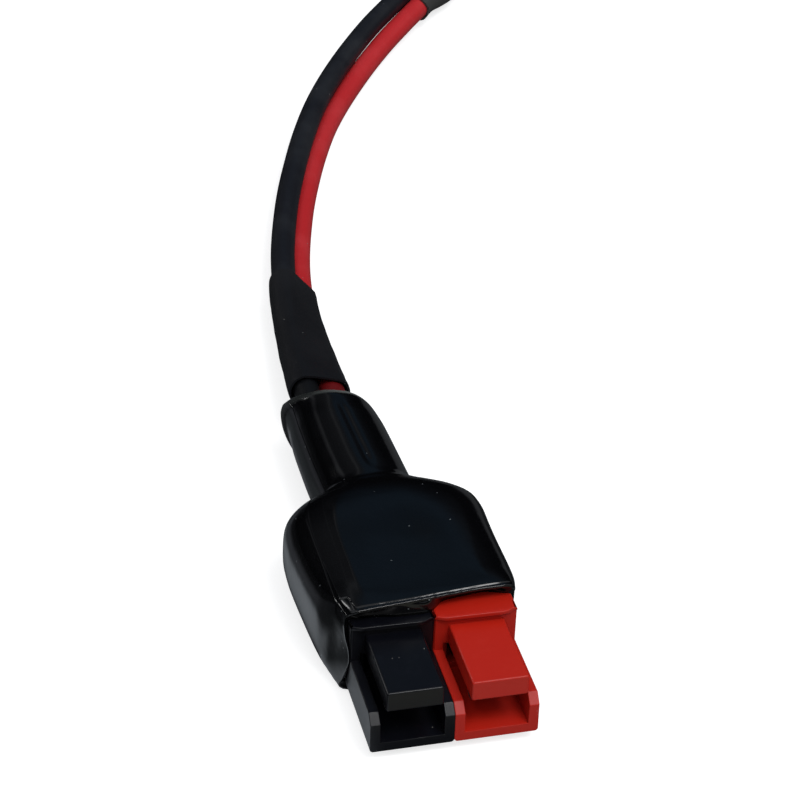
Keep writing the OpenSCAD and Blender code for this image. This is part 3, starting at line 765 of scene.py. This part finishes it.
def outer_ring(y):
    """Ring of the outside, with its creases, the step at the lip and the wires' traces."""
    k, cx, cz = section(y)
    x, z = around(k, cx, cz)
    out = unit(np.stack([x - cx, z - cz], 1))
    lift = 0.05 * noise_at(x * 0.17, y * 0.13, z * 0.17)
    on_top = eased(z, 7.2, 9.0)
    for rows, height, width in creases:
        off = np.abs(x - table(rows, 1, y))
        lift += (height * np.exp(-off / width) * on_top * eased(y, *creased[:2])
                 * (1 - eased(y, *creased[2:])))
    # slightly dished panel between the creases
    lift -= 0.26 * on_top * np.exp(-((x - 0.2) / 3.8)**2 - ((y - 19) / 4.6)**2)
    # the film is thinner before the step, and uneven up to the notch
    ragged = 1 + 0.5 * noise_at(angles * 60, 3.1, 0.0) * (1 - eased(degrees, 119, 122))
    lift -= drop * ragged * (1 - eased(y, step - 0.1 * stretch, step + 0.1 * stretch))
    neck = eased(y, *necked[:2]) * (1 - eased(y, *necked[2:]))
    for at, width, height in swells:
        lift += height * neck * np.exp(-((degrees - at) / width)**2)
    return np.stack([x + lift * out[:, 0], housing_front + y + neck_cut(y),
                     np.maximum(z + lift * out[:, 1], 0)], 1)


def inner_ring(y, wall):
    """Ring of the inside, which lies on the housings as far as they reach."""
    k, cx, cz = section(y)
    k = k - wall / np.hypot(pitch * np.cos(angles), pitch / 2 * np.sin(angles))
    touch = 1.004 / np.maximum(np.abs(np.cos(angles)), np.abs(np.sin(angles)))
    x, z = around(np.where(y < housed, np.maximum(k, touch), k), cx, cz)
    return np.stack([x, housing_front + y + neck_cut(y), np.maximum(z, 0.0)], 1)


foot = table(foot_rows, 1, degrees)
edge = table(edge_rows, 1, degrees)
step, drop = (table(step_rows, c, degrees) for c in (1, 2))
# where the step runs back along the notch, its rings are spread out by as much
x, z = around(*section(step))
course = np.gradient(step, np.concatenate([[0], np.cumsum(np.hypot(np.diff(x), np.diff(z)))]))
stretch = np.minimum(np.sqrt(1 + course**2), 7)
reach = 0.2 * (stretch - 1)
# outside: from the rim to the step, over it, on to square rings and back to the neck's cut
lip = edge + rim_round
before = np.maximum(step - 0.15 * stretch, lip + (step - lip) * 0.35)
rings = [outer_ring(lip + (before - lip) * f) for f in (0, 0.35, 0.7)]
rings += [outer_ring(before + (step - before) * f) for f in (0, 0.27, 0.47, 0.67, 0.87)]
rings += [outer_ring(step + s + reach * (1 - math.exp(-5 * s))) for s in (
    0.01, 0.04, 0.07, 0.1, 0.14, 0.2, 0.3, 0.45, 0.7, 1.0, 1.4)]
last = step + 1.4 + reach
rings += [outer_ring(last + (turned - last) * f) for f in np.linspace(0, 1, 24)[1:]]
for y in np.concatenate([np.arange(21.5, 27, 0.5), np.arange(27, 32, 0.25),
                         np.arange(32, 44.6, 0.5), np.arange(44.6, 46.65, 0.1)]):
    rings.append(outer_ring(np.full(len(angles), y)))
# inside: from the neck's cut forward to the rim's foot
back_again = []
for y, wall in ((46.62, 0.35), (46.6, 0.8), (46.4, 1.15), (45.9, neck_t), (44.5, neck_t),
                (42, neck_t), (39, neck_t), (36, neck_t), (33, neck_t), (31.4, neck_t),
                (30.5, 1.2), (29.5, 1.1), (28.5, 1.05), (27.5, 1.0), (26.5, shell_t),
                (25.5, shell_t), (24.95, shell_t)):
    back_again.append(inner_ring(np.full(len(angles), y), wall))
for f in np.linspace(1, 0, 12):
    back_again.append(inner_ring(foot + inside_to + (inside_from - foot - inside_to) * f,
                                 shell_t))
# rim: from its foot on the housings up to the front edge, which is rounded back
foot_ring = inner_ring(foot, 9.0)
rim = []
for q, behind in ((0, 0), (0.25, 0), (0.45, 0), (0.56, 0), (0.64, 0), (0.7, 0), (0.75, 0),
                  (0.8, 0), (0.84, 0.005), (0.92, 0.02), (0.97, 0.05), (0.993, 0.09)):
    point = foot_ring + (rings[0] - foot_ring) * q
    point[:, 1] = housing_front + foot + (edge - foot) * min(1, q / rim_height)**rim_flare + behind
    rim.append(point)
all_rings = np.array(rings + back_again + rim)[:, ::-1]
boot = skin("dipped_vinyl_boot", all_rings, closed=True)
# how far along the skin the neck's cut begins and ends
run = np.cumsum(np.linalg.norm(np.diff(all_rings, axis=0), axis=2).mean(1)) * MM
cut_from, cut_to = (run[len(rings) + ring] for ring in cut_rings)

vinyl_black = (0.0018, 0.0019, 0.0024)
vinyl, surface, add = finish("glossy_vinyl", vinyl_black, 0.13)
body = add("TexCoord").outputs["Object"]
peel = cloudy(add, body, 320, 2)
fine = cloudy(add, body, 1500, 3)
smear = cloudy(add, body, 150, 5, stretched=(1, 0.5, 1), Roughness=0.65)
flecks = maths(add, "MAXIMUM", spots(add, body, 0.11, 0.16), spots(add, body, 0.2, 0.03))
# the neck's cut is dull; its pale grey is painted light for the pale band it mirrors, and painted
# shade keeps it darker on its left
along = add("SeparateXYZ", {0: add("UVMap", uv_map="round_and_along").outputs[0]}).outputs["Y"]
cut = maths(add, "MULTIPLY", between(add, along, 0, 1, cut_from, cut_from + 0.4 * MM),
            between(add, along, 0, 1, cut_to, cut_to - 0.2 * MM))
# painted shade: the cut's pale colour fades to dark on its left
painted_shade_on_left = between(add, add("SeparateXYZ", {0: body}).outputs["X"], 0.15, 1, -3 * MM, 1 * MM)
cut = maths(add, "MULTIPLY", cut, painted_shade_on_left)
# painted light: the pale grey of the cut stands for the pale band it mirrors
cut_painted_pale = mixed(add, cut, vinyl_black, (0.12, 0.13, 0.125))
join(surface, "Base Color", mixed(add, flecks, cut_painted_pale, (0.10, 0.11, 0.115)))
join(surface, "Roughness", maths(add, "ADD", between(add, smear, 0.08, 0.20),
                                 maths(add, "MULTIPLY", cut, 0.35)))
embossed(surface, add, (peel, 0.25, 0.10), (fine, 0.08, 0.03))
boot.data.materials.append(vinyl)
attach(boot, "root")
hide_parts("boot")


# Stage
# A sheet of white paper, a key lamp, a broad light in front, a small window behind on the
# left and a weak lamp on the left. Glossy surfaces mirror a dim room, and the paper with
# lit and dim places painted into its colour.
half_paper = 6.0  # metres
glow_of_paper = 0.74  # makes the paper plain white where the camera sees it
paper = bpy.data.objects.new("paper", bpy.data.meshes.new("paper"))
paper.data.from_pydata([(x * half_paper, y * half_paper, 0)
                        for x, y in ((-1, -1), (1, -1), (1, 1), (-1, 1))], [], [(0, 1, 2, 3)])
bpy.context.scene.collection.objects.link(paper)
white = bpy.data.materials.new("white_paper")
white.use_nodes = True
tree = white.node_tree
tree.nodes.remove(tree.nodes["Principled BSDF"])
add = node_adder(tree)
x, y, _ = add("SeparateXYZ", {0: add("TexCoord").outputs["Object"]}).outputs
off_part = maths(add, "MAXIMUM", maths(add, "ABSOLUTE", x), maths(add, "MULTIPLY", y, 0.25))
off_neck = maths(add, "ABSOLUTE", maths(add, "ADD", x, 0.0046))
strip_x = between(add, y, -0.0088, -0.0127, -0.0105, -0.0085)
off_strip = maths(add, "ABSOLUTE", maths(add, "SUBTRACT", x, strip_x))
# painted light: as glossy surfaces see it, the paper is dark further away, with lit and dim places
# painted on it
near = (0.018, 0.019, 0.020)  # dark further away
for tone, *bounds in (  # colour of a lit place; its bounds in metres: 0 there, 1 there, soft
        # dim paper close to the part
        ((0.075, 0.083, 0.088), (off_part, 0.022, 0.009, True)),
        # lit paper in front
        ((0.36, 0.36, 0.30), (y, -0.027, -0.033, True), (x, -0.0085, -0.0060, False)),
        # dim paper off to the left, and behind on the right
        ((0.13, 0.135, 0.15), (x, -0.0130, -0.0180, False), (y, -0.008, 0.004, False),
         (x, -0.036, -0.018, True)),
        ((0.085, 0.088, 0.092), (x, 0.010, 0.016, False), (y, 0.026, 0.036, False)),
        # short strip beside the neck
        ((0.34, 0.35, 0.37), (off_neck, 0.0028, 0.0006, False), (y, 0.012, 0.019, False),
         (y, 0.037, 0.030, False)),
        # well lit strip along the left side of the hoods and the boot
        ((0.60, 0.64, 0.68), (off_strip, 0.0033, 0.0006, True), (y, 0.025, -0.008, True))):
    inside = [between(add, value, 0, 1, none, full, soft) for value, none, full, soft in bounds]
    share = inside[0]
    for more in inside[1:]:
        share = maths(add, "MULTIPLY", share, more)
    near = mixed(add, share, near, tone)
grey = (0.5, 0.5, 0.5)
rays = add("LightPath").outputs
mirrored = mixed(add, rays["Is Glossy Ray"], grey, near)
seen = maths(add, "MAXIMUM", rays["Is Camera Ray"], rays["Is Transmission Ray"])
sheet_white = add("BsdfDiffuse", {"Color": mixed(add, seen, mirrored, grey)})
glow = add("Emission", {"Color": (1, 1, 1, 1),
                        "Strength": maths(add, "MULTIPLY", seen, glow_of_paper)})
both = add("AddShader", {0: sheet_white.outputs[0], 1: glow.outputs[0]})
tree.links.new(both.outputs[0], tree.nodes["Material Output"].inputs["Surface"])
paper.data.materials.append(white)

for name, towards, strength, spread, in_gloss in (
        ("key", (0.22, -0.44, 0.87), 0.9, 21, True),
        ("front_light", (0.22, -0.50, 0.84), 1.0, 50, False),
        ("window", (-0.672, 0.560, 0.484), 0.22, 12, True),
        ("left_fill", (-0.33, -0.39, 0.86), 0.25, 16, True)):
    lamp = bpy.data.objects.new(name, bpy.data.lights.new(name, "SUN"))
    lamp.data.energy = strength
    lamp.data.angle = math.radians(spread)
    lamp.rotation_mode = "QUATERNION"
    lamp.rotation_quaternion = Vector(towards).to_track_quat("Z", "Y")
    lamp.visible_glossy = in_gloss
    bpy.context.scene.collection.objects.link(lamp)

world = bpy.data.worlds.new("dim_room")
world.use_nodes = True
bpy.context.scene.world = world
tree = world.node_tree
add = node_adder(tree)
direction = add("TexCoord").outputs["Generated"]
parts = add("SeparateXYZ", {0: direction}).outputs
side_to_side = maths(add, "ARCTAN2", parts["Z"], parts["X"])
ramp = add("ValToRGB", {0: between(add, side_to_side, 0, 1, 0, math.pi)})
tones = (  # degrees up from the right, over the part and down to the left, and the colour
    (0, (0.01, 0.01, 0.011)), (31, (0.010, 0.010, 0.012)), (38, (0.038, 0.04, 0.043)),
    (55, (0.046, 0.06, 0.078)), (66, (0.052, 0.096, 0.148)), (76, (0.052, 0.094, 0.142)),
    (83, (0.062, 0.07, 0.08)), (86.5, (0.07, 0.075, 0.08)), (88.3, (0.17, 0.18, 0.19)),
    (90, (0.17, 0.18, 0.19)), (92, (0.06, 0.063, 0.068)), (95, (0.05, 0.053, 0.058)),
    (122, (0.038, 0.04, 0.043)), (127, (0.33, 0.345, 0.37)), (132, (0.33, 0.345, 0.37)),
    (138, (0.02, 0.02, 0.022)), (180, (0.01, 0.01, 0.011)))
stops = ramp.color_ramp.elements
for i, (degree, tone) in enumerate(tones):
    stop = stops[i] if i < 2 else stops.new(degree / 180)
    stop.position = degree / 180
    stop.color = (*tone, 1)
clouds = cloudy(add, direction, 4.5, 1)
uneven = between(add, clouds, 0.55, 1.35, 0.3, 0.7)
above = between(add, parts["Z"], 0, 1, 0.24, 0.50, soft=True)
higher = between(add, parts["Z"], 0.4, 1.15, 0.45, 0.58)
walls = maths(add, "MULTIPLY", maths(add, "MULTIPLY", uneven, above), higher)
room = mixed(add, 1.0, ramp.outputs[0], walls, "MULTIPLY")
# a pale ceiling above and in front, which only edges that face it mirror
ceiling = maths(add, "MULTIPLY", between(add, parts["Y"], 0, 1, 0.6, 0.2, soft=True), above)
room = mixed(add, ceiling, room, (0.5, 0.52, 0.55))
rays = add("LightPath").outputs
seen = maths(add, "MAXIMUM", rays["Is Camera Ray"], rays["Is Transmission Ray"])
backdrop = mixed(add, seen, room, (1, 1, 1))
tree.links.new(backdrop, tree.nodes["Background"].inputs["Color"])
bpy.context.scene.view_settings.view_transform = "Standard"
